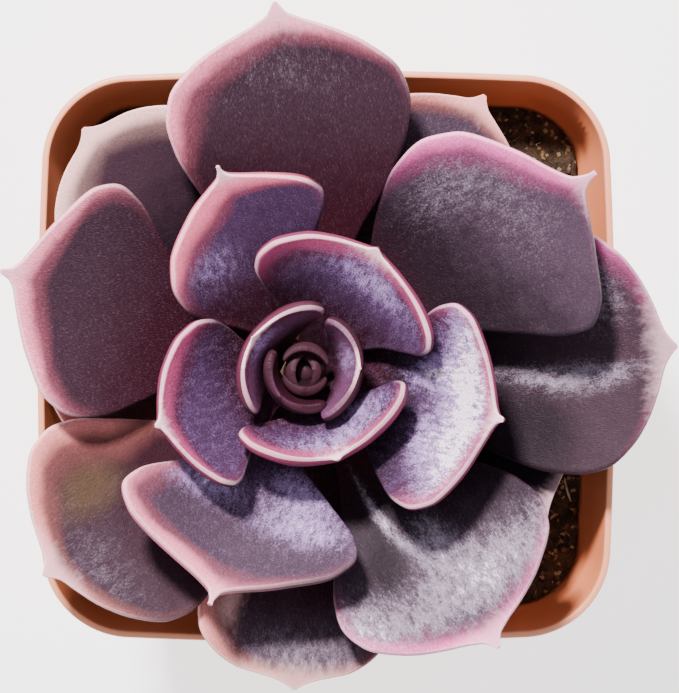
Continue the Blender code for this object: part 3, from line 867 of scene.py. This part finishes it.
def leaf_grid(leaf, rows, columns, seed):
    """The blade's points, its faces, and for each point its place on the leaf."""
    along = 1 - (1 - np.linspace(0, 1, rows + 1)) ** TIP_SPREAD
    across = np.sin(0.5 * np.pi * np.linspace(-1, 1, columns + 1))
    along_grid, across_grid = [grid.ravel() for grid in np.meshgrid(along, across, indexing="ij")]
    shape = (rows + 1, columns + 1)
    places = leaf_place(leaf, along_grid, across_grid).reshape(*shape, 3)
    face = np.cross(np.gradient(places, axis=0), np.gradient(places, axis=1))
    face *= np.sign(face[..., 2:].sum())
    face /= np.linalg.norm(face, axis=2, keepdims=True)
    side = np.where(across_grid >= 0, 1, -1)
    half = np.maximum(leaf_half_width(leaf, along_grid, side), POINT_WIDTH).reshape(shape)
    length = np.linalg.norm(np.diff(places[:, columns // 2], axis=0), axis=1)
    ran = np.concatenate([[0], np.cumsum(length)])
    slope = np.gradient(half, ran, axis=0)
    across_grid, along_grid = across_grid.reshape(shape), along_grid.reshape(shape)
    edge = half * (1 - np.abs(across_grid)) / np.sqrt(1 + slope**2)
    margin = leaf.margin * np.interp(along_grid, *MARGIN_TAPER)
    middle = (FLESH_LEAST + FLESH_SHARE * leaf.half_width) * np.interp(along_grid, *zip(*LEAF_FLESH))
    thick = margin + np.maximum(middle - margin, 0) * (1 - across_grid**2) ** 0.8
    reach = np.clip(half * (1 - np.abs(across_grid)) / np.minimum(margin / 2, half), 0, 1)
    drop = 0.5 * margin * (1 - np.sqrt(np.clip(1 - (1 - reach) ** 2, 0, 1)))
    uneven = np.zeros_like(places)
    for row in range(rows + 1):
        for column in range(columns + 1):
            spot = Vector(places[row, column])
            fade = min(1.0, 1.6 * along[row])
            bend = noise.noise_vector(spot / BEND_SIZE + Vector((seed, 0, 0))) * BEND_NOISE
            dent = noise.noise(spot / DENT_SIZE + Vector((0, seed, 0))) * DENT_NOISE
            uneven[row, column] = fade * (np.array(bend) + dent * face[row, column])
    places = places + uneven
    upper = places - face * drop[..., None]
    lower = places - face * (thick - drop)[..., None]
    flat = np.stack([half * across_grid, ran[:, None] + 0 * half, 0 * half], axis=2) / MM
    where = np.stack([across_grid, along_grid, 0 * half], axis=2)
    rings = {"points": [], "flat": [], "where": [], "edge": []}
    for row in range(rows + 1):
        for layer, top in ((upper, 1.0), (lower, 0.0)):
            columns_here = range(columns + 1) if top else range(columns - 1, 0, -1)
            for column in columns_here:
                rings["points"].append(layer[row, column])
                rings["flat"].append(flat[row, column])
                at_margin = column in (0, columns)
                rings["where"].append((*where[row, column, :2], 0.5 if at_margin else top))
                rings["edge"].append(edge[row, column] / MM)
    around = 2 * columns
    faces = []
    for row in range(rows):
        for i in range(around):
            j = (i + 1) % around
            faces.append((row * around + i, row * around + j, (row + 1) * around + j, (row + 1) * around + i))
    faces.append(tuple(range(around))[::-1])
    faces.append(tuple(rows * around + i for i in range(around)))
    return {key: np.array(value) for key, value in rings.items()}, faces


trial, trial_faces = leaf_grid(ROSETTE[7], LEAF_ALONG, LEAF_ACROSS, 7)
print("points a leaf:", len(trial["points"]), "faces:", len(trial_faces))

# %% [markdown]
# The colour of an echeveria is three things at once: flesh that runs from slate at the shoulder to burgundy near
# the stem, a pale wax called bloom that lies over it in uneven patches, and a margin that blushes pink. The blush
# is wide at the tip and fades to nothing down the sides, and each leaf has its own. A look lists all this for one
# leaf: margin widths at six places along each side, and patches of bloom, which are soft ellipses in the leaf's
# own measures, along and across, so they stay on the leaf from any side. On some leaves the patches also paint
# highlights and sheen as extra bloom, and touches lay colours over the flesh: real tints, and near-black painted
# shadow.

# %% Looks of the leaves
SLATE = rgb(0.034, 0.015, 0.025)
SMOKE = rgb(0.050, 0.028, 0.046)
VIOLET = rgb(0.048, 0.020, 0.055)
MAROON = rgb(0.026, 0.005, 0.011)
# Near black. Besides the deepest flesh, it is painted shade: all over leaf_01 and the heart, and in touches on leaf_06
# and leaf_09.
NIGHT = rgb(0.012, 0.005, 0.010)
PLUM = rgb(0.100, 0.032, 0.075)
WINE = rgb(0.200, 0.045, 0.090)
CLARET = rgb(0.030, 0.006, 0.011)
BURGUNDY = rgb(0.070, 0.012, 0.026)
GARNET = rgb(0.340, 0.050, 0.130)
OLIVE = rgb(0.075, 0.042, 0.028)
LAVENDER = rgb(0.32, 0.20, 0.42)
MIST = rgb(0.26, 0.20, 0.27)
# Pale wax crystals, and also the colour of painted highlights where the bloom patches are strongest.
FROST_AND_HIGHLIGHT = rgb(0.90, 0.72, 0.88)
PINK = rgb(0.92, 0.24, 0.36)
ROSE = rgb(0.92, 0.15, 0.45)
SALMON = rgb(0.92, 0.18, 0.30)
PEACH = rgb(0.90, 0.28, 0.27)
CREAM = rgb(0.90, 0.50, 0.48)
BLUSH_WHITE = rgb(0.95, 0.60, 0.68)
MARGIN_PLACES = (0.44, 0.56, 0.68, 0.80, 0.89, 0.97)
NO_MARGIN = (0, 0, 0, 0.4, 0.6, 0.8)


@dataclass
class Patch:
    """A soft ellipse on a leaf. lean tilts it: its middle moves across by that much for each unit along."""

    along: float
    across: float
    length: float
    width: float
    strength: float = 1.0
    lean: float = 0.0
    colour: tuple = MIST

    def cover(self, along, across):
        side = self.across + self.lean * (along - self.along)
        far = ((along - self.along) / self.length) ** 2 + ((across - side) / self.width) ** 2
        return self.strength * np.exp(-far)


@dataclass
class Look:
    """Colours of one leaf. left and right are its margin's widths in millimetres, one for each of MARGIN_PLACES.

    turn is how far along the deep flesh gives way to the outer flesh, and slope tilts that line to the left.
    comb is 1 where the wax is combed into streaks along the leaf, and 0 where it lies in round specks. tip and
    line say how strongly the rim's colour shows on the point and in a fine line round the edge.
    """

    flesh: tuple = SLATE
    deep: tuple = MAROON
    base: tuple = CLARET
    bloom_colour: tuple = MIST
    margin: tuple = PINK
    rim: tuple = BLUSH_WHITE
    left: tuple = NO_MARGIN
    right: tuple = NO_MARGIN
    turn: float = 0.6
    slope: float = 0.0
    comb: float = 0.6
    tip: float = 0.4
    line: float = 0.4
    bloom_and_highlight: float = 0.06
    patches: list = field(default_factory=list)
    touches: list = field(default_factory=list)


LOOKS = [
    # leaf_01 lies under its neighbours, and its near-black flesh is painted shade.
    Look(flesh=NIGHT, deep=NIGHT, bloom_and_highlight=0.0),
    Look(flesh=SMOKE, margin=PEACH, rim=CREAM, left=(2, 2.5, 3, 3, 3, 3), right=(2, 2.5, 3, 3, 3, 3)),
    Look(flesh=SMOKE, deep=SLATE, margin=PEACH, rim=CREAM, left=(0, 0, 0.5, 1.2, 2, 3),
         right=(0, 0, 0, 0.6, 1.2, 3), bloom_and_highlight=0.14),
    Look(flesh=SMOKE, margin=PEACH, rim=CREAM, left=(0, 0, 0.3, 0.8, 0.9, 1.2), right=(0, 0.5, 2.5, 2.5, 1.7, 1.4),
         turn=0.78, bloom_and_highlight=0.12, patches=[Patch(0.88, 0.1, 0.08, 0.8, 0.3)],
         touches=[Patch(0.71, -0.85, 0.12, 0.25, 0.9, colour=CREAM)]),
    Look(deep=NIGHT, margin=CREAM, rim=CREAM, left=(0, 0, 2.2, 3.4, 3.4, 4), right=(0, 0.5, 1.5, 2.4, 3.2, 4),
         turn=0.62, bloom_and_highlight=0.07),
    # On leaf_06 the first two patches paint a sheen band, a painted highlight, and the near-black touch paints shadow
    # down its right side.
    Look(deep=NIGHT, margin=ROSE, left=(0, 0.3, 1.0, 1.8, 1.2, 1.0), right=(0.2, 0.2, 0.2, 0.3, 0.7, 0.8),
         turn=0.56, slope=0.1, bloom_and_highlight=0.07,
         patches=[Patch(0.74, -0.22, 0.16, 0.12, 0.6), Patch(0.56, -0.18, 0.14, 0.07, 0.4),
                  Patch(0.80, 0.55, 0.08, 0.35, 0.35)],
         touches=[Patch(0.56, -0.66, 0.16, 0.32, 0.9, colour=NIGHT)]),
    Look(margin=PEACH, left=(0.2, 0.2, 0.5, 0.7, 1.3, 2), right=(1.2, 3, 3.6, 3, 2.6, 2.6), turn=0.66,
         patches=[Patch(0.84, 0.3, 0.10, 0.7, 0.2)],
         touches=[Patch(0.72, -0.40, 0.14, 0.28, 0.8, colour=OLIVE)]),
    Look(left=(0.3, 0.8, 2.6, 3.4, 3.2, 4), right=(0.2, 0.2, 0.4, 0.9, 2, 3.2), turn=0.56, comb=0.8,
         patches=[Patch(0.82, 0.0, 0.10, 0.7, 0.15)]),
    # On leaf_09 the leaning patch paints a streak of light between two cast shadows, a painted highlight, and the
    # near-black touch paints a cast shadow.
    Look(flesh=SMOKE, deep=NIGHT, margin=ROSE, left=(0, 0.2, 0.2, 1.4, 1.5, 2.5), right=(0.3, 0.5, 1.2, 2, 2, 3),
         turn=0.60, slope=-0.10, comb=0.8,
         patches=[Patch(0.79, 0.25, 0.10, 0.9, 1.0), Patch(0.74, -0.85, 0.10, 0.22, 0.9),
                  Patch(0.62, 0.05, 0.10, 0.18, 0.7), Patch(0.46, -0.32, 0.15, 0.06, 1.1, lean=1.25)],
         touches=[Patch(0.60, -0.45, 0.12, 0.22, 0.9, colour=NIGHT)]),
    Look(left=(0.2, 0.4, 1.2, 2.6, 3.2, 4), right=(0.2, 0.3, 0.8, 1.8, 3, 4), turn=0.58, comb=1.0, bloom_and_highlight=0.07),
    Look(flesh=SMOKE, deep=NIGHT, margin=ROSE, left=(0.2, 1.4, 2.8, 2.5, 2.2, 2.5),
         right=(0, 0, 0.1, 0.2, 0.5, 1.8), turn=0.62, slope=0.10, comb=0.2, bloom_and_highlight=0.07,
         patches=[Patch(0.76, 0.25, 0.12, 0.6, 0.2), Patch(0.60, 0.62, 0.12, 0.25, 0.25)]),
    # On leaf_12 the bloom patches are partly real bloom, partly painted gloss highlights.
    Look(flesh=SMOKE, deep=VIOLET, margin=PINK, left=(0, 0.3, 0.5, 0.8, 1.4, 2.8),
         right=(0.4, 1.4, 2.0, 2.6, 3.2, 4), turn=0.5, comb=0.3, bloom_and_highlight=0.14, bloom_colour=LAVENDER,
         patches=[Patch(0.59, 0.55, 0.07, 0.38, 0.8), Patch(0.44, 0.6, 0.07, 0.4, 0.8),
                  Patch(0.54, -0.55, 0.06, 0.40, 0.9)]),
    Look(flesh=VIOLET, margin=SALMON, tip=0.9, left=(0.6, 1.5, 3.2, 4.2, 4.5, 5), right=(0.2, 0.3, 0.4, 0.8, 2.8, 4),
         turn=0.48, comb=0.3, bloom_and_highlight=0.15, bloom_colour=LAVENDER, patches=[Patch(0.58, 0.5, 0.09, 0.35, 0.3)]),
    # On leaf_14 the first patch whitens the outer part: partly real bloom, partly a painted highlight.
    Look(flesh=VIOLET, deep=NIGHT, margin=GARNET, tip=0.9, line=0.5, left=(0.3, 1, 1.8, 2, 2.6, 3.5), right=(0.3, 0.5, 2.5, 2.6, 2.5, 3),
         turn=0.52, comb=0.3, bloom_and_highlight=0.15, bloom_colour=LAVENDER,
         patches=[Patch(0.80, 0.0, 0.11, 1.2, 2.0), Patch(0.60, 0.32, 0.11, 0.14, 1.2),
                  Patch(0.62, -0.35, 0.07, 0.25, 0.7)]),
    Look(flesh=VIOLET, margin=GARNET, tip=0.9, line=0.5, left=(0.8, 0.8, 0.8, 1.2, 3, 4), right=(0.5, 1.5, 3.2, 3.6, 4, 4),
         turn=0.45, comb=0.2, bloom_and_highlight=0.18, bloom_colour=LAVENDER),
    # On leaf_16 the strong patch near the tip is partly real bloom, partly a painted highlight.
    Look(flesh=VIOLET, margin=GARNET, tip=0.9, line=0.5, left=(0.8, 2.2, 3.6, 4, 4.2, 4), right=(0.4, 0.5, 0.6, 1.8, 2.5, 4),
         turn=0.50, comb=0.2, bloom_and_highlight=0.18, bloom_colour=LAVENDER,
         patches=[Patch(0.76, -0.1, 0.10, 0.5, 0.5), Patch(0.93, 0.15, 0.05, 0.5, 1.6)]),
    # On leaf_17 the strong patch near the tip is partly real bloom, partly a painted highlight.
    Look(flesh=VIOLET, margin=GARNET, tip=0.9, line=0.5, left=(0, 0.2, 1, 2.2, 3, 3), right=(0.5, 1, 2.6, 3.6, 3.6, 3),
         turn=0.50, comb=0.2, bloom_and_highlight=0.18, bloom_colour=LAVENDER,
         patches=[Patch(0.78, 0.1, 0.12, 0.6, 0.6), Patch(0.56, 0.5, 0.12, 0.3, 0.5),
                  Patch(0.92, -0.1, 0.06, 0.5, 1.5)]),
    Look(flesh=PLUM, margin=GARNET, tip=0.9, line=0.5, left=(0.3, 0.3, 0.4, 1, 1.4, 2), right=(0.6, 1.2, 1, 1, 1.4, 2),
         turn=0.58, comb=0.2, bloom_and_highlight=0.1, bloom_colour=LAVENDER, patches=[Patch(0.82, 0.0, 0.12, 0.3, 0.6)]),
    Look(flesh=PLUM, margin=GARNET, tip=0.9, line=0.5, left=(0.3, 0.3, 0.4, 0.6, 0.8, 1.4), right=(0.3, 0.3, 0.2, 0.4, 0.8, 1.4),
         turn=0.55, comb=0.2, bloom_and_highlight=0.15, bloom_colour=LAVENDER, patches=[Patch(0.72, 0.2, 0.20, 0.3, 0.4)]),
    Look(flesh=MAROON, margin=WINE, rim=PLUM, bloom_and_highlight=0.0),
]
print("looks:", len(LOOKS))

# %% [markdown]
# One function mixes the finish from a look, from the flesh outward, as it lies on the plant. Fine specks and short
# streaks break every edge between flesh, wax and blush, which is what keeps wax from looking like paint. Noise
# keeps close to its average, so its steps stretch it to full contrast before it is used.


# %% Leaf finish
BASE_FADE = (0.44, 0.24)


def leaf_finish(name, look, seed):
    finish = Finish(name, Specular_IOR_Level=0.1)
    where = finish.attribute("where", "Vector")
    flat = finish.attribute("flat", "Vector")
    edge, band, bloom_and_highlight = finish.attribute("edge"), finish.attribute("band"), finish.attribute("bloom_and_highlight")
    side, along, top = where.part(0), where.part(1), where.part(2)
    cloud = flat.grain(3.5, 4, 0.6, seed)
    smear = (flat * (1.0, 0.5, 1.0)).grain(1.1, 5, 0.7, seed + 1)
    streak = (flat * (1.0, 0.30, 1.0)).grain(0.17, 2, 0.6, seed + 2)
    speck = flat.grain(0.30, 3, 0.75, seed + 3)
    wax_grain = (streak * look.comb + speck * (1 - look.comb)).step(0.28, 0.72)
    line = along + side * look.slope + (cloud - 0.5) * 0.30
    flesh = line.step(look.turn - 0.18, look.turn + 0.18).choose(look.deep, look.flesh)
    flesh = (along + (smear - 0.5) * 0.2).step(*BASE_FADE).choose(flesh, look.base)
    # Touches lay a colour over the flesh: real tints, and on leaf_06 and leaf_09 near-black painted shadow.
    for number, touch in enumerate(look.touches):
        cover = finish.attribute(f"touch_{number}") + (smear - 0.5) * 0.5
        flesh = cover.step(0.1, 0.8).choose(flesh, touch.colour)
    depth = (edge + (smear - 0.5) * 1.6 + (wax_grain - 0.5) * 0.3) / band
    blush = tuple(0.20 * value for value in look.margin[:3]) + (1.0,)
    flesh = (depth.step(3.2, 0.9) * band.step(0.1, 1.8) * 0.85).choose(flesh, blush)
    # The wax holds the bloom, and on some leaves painted highlights and sheen laid on as extra bloom; where it is
    # strongest it turns almost white.
    wax_and_highlight = bloom_and_highlight * (0.3 + (smear * 0.65 + speck * 0.35).step(0.34, 0.66) * 1.4) + (wax_grain - 0.5) * 0.16
    flesh = (wax_and_highlight.step(0.08, 1.0) * 0.9).choose(flesh, look.bloom_colour)
    flesh = (wax_and_highlight.step(1.0, 1.9) * 0.85).choose(flesh, FROST_AND_HIGHLIGHT)
    coloured = band.step(0.6, 3.0)
    flesh = (depth.step(1.4, 0.2) * coloured * 0.9).choose(flesh, look.margin)
    flesh = flesh * (0.70 + wax_grain * 0.6)
    flesh = (wax_grain.step(0.75, 1.0) * (0.02 + wax_and_highlight.step(0.1, 0.9) * 0.16)).choose(flesh, FROST_AND_HIGHLIGHT)
    point = (along + (smear - 0.5) * 0.1).step(0.89, 0.97) * look.tip
    line = (edge + (cloud - 0.5) * 0.4).step(0.5, 0.12) * band.step(0.2, 2.0) * look.line
    flesh = point.choose(flesh, look.rim)
    flesh = line.choose(flesh, look.rim)
    under = cloud.choose(rgb(0.024, 0.006, 0.011), rgb(0.050, 0.016, 0.028))
    under = ((edge + (smear - 0.5) * 1.2).step(2.0, 0.2) * coloured * 0.5).choose(under, look.margin)
    finish.vary(Base_Color=top.step(0.2, 0.5).choose(under, flesh), Roughness=0.46 + wax_and_highlight.step(0.0, 1.0) * 0.2)
    finish.relief(wax_grain * 0.6 + smear * 1.4, 0.09)
    return finish


def make_leaf(name, leaf, look, seed, rows=LEAF_ALONG, columns=LEAF_ACROSS):
    grid, faces = leaf_grid(leaf, rows, columns, seed)
    mesh = mesh_of(name, grid["points"], faces)
    across, along = grid["where"][:, 0], grid["where"][:, 1]
    store(mesh, "where", grid["where"])
    store(mesh, "flat", grid["flat"])
    store(mesh, "edge", grid["edge"])
    left, right = (np.interp(along, MARGIN_PLACES, widths) for widths in (look.left, look.right))
    share = np.clip(0.5 + across, 0, 1)
    store(mesh, "band", np.maximum(share * left + (1 - share) * right, LEAST_BAND))
    store(mesh, "bloom_and_highlight", look.bloom_and_highlight + sum(patch.cover(along, across) for patch in look.patches) + 0 * along)
    for number, touch in enumerate(look.touches):
        store(mesh, f"touch_{number}", touch.cover(along, across))
    return mesh


LEAST_BAND = 0.05
OLD_LEAVES = 7
for number, (leaf, look) in enumerate(zip(ROSETTE, LOOKS)):
    node = f"leaf_{number + 1:02d}"
    piece_name = f"blade_{number + 1:02d}"
    slot = "leaf_old" if number < OLD_LEAVES else "leaf_young"
    mesh = make_leaf(piece_name, leaf, look, 3.7 * number + 1)
    add_piece(piece_name, mesh, leaf_finish(piece_name, look, 10.0 * number), slot, node)
print("leaves dressed:", len(LOOKS))

# %% [markdown]
# The heart is a bud: four small leaves round the growing point, too tight to see between. They are made by the
# same function, only smaller and steeper, and joined with a rounded core.

# %% Heart
HEART_LEAVES = [
    Leaf(84, 0.0034, 0.1072, 0.0044, 58, 70, 100),
    Leaf(268, 0.0024, 0.1066, 0.0040, 58, 74, 105),
    Leaf(176, 0.0016, 0.1058, 0.0032, 58, 78, 108),
    Leaf(8, 0.0012, 0.1050, 0.0026, 58, 80, 110),
]
HEART_BASE = 100.3 * MM
HEART_RADIUS = 1.9 * MM
HEART_HEIGHT = 2.6 * MM
HEART_SEAT_RISE = 0.6 * MM
HEART_SEAT_RADIUS = 0.9 * MM
HEART_MARGIN = 0.4 * MM
# The bud is coloured almost black: partly its own dark red, partly painted shade for the shadow it lies in.
HEART_LOOK = Look(flesh=MAROON, deep=NIGHT, base=NIGHT, margin=MAROON, rim=PLUM, comb=0.2, tip=0.0, line=0.2, bloom_and_highlight=0.0)

heart_finish = leaf_finish("heart_bud", HEART_LOOK, 300.0)
bud = bmesh.new()
for number, leaf in enumerate(HEART_LEAVES):
    leaf.base_height = HEART_BASE + HEART_SEAT_RISE
    leaf.base_radius = HEART_SEAT_RADIUS
    leaf.margin = HEART_MARGIN
    bud.from_mesh(make_leaf(f"bud_{number}", leaf, HEART_LOOK, 90.0 + number, 48, 24))
core = bmesh.ops.create_uvsphere(bud, u_segments=24, v_segments=16, radius=1)
bmesh.ops.scale(bud, vec=(HEART_RADIUS, HEART_RADIUS, HEART_HEIGHT / 2), verts=core["verts"])
core_place = STEM_PLACE + Vector((0, 0, HEART_BASE + HEART_HEIGHT / 2))
bmesh.ops.translate(bud, vec=core_place, verts=core["verts"])
bud_mesh = bpy.data.meshes.new("heart_bud")
bud.to_mesh(bud_mesh)
bud.free()
bud_mesh.shade_smooth()
add_piece("heart_bud", bud_mesh, heart_finish, "leaf_young", "heart")
print("heart faces:", len(bud_mesh.polygons))
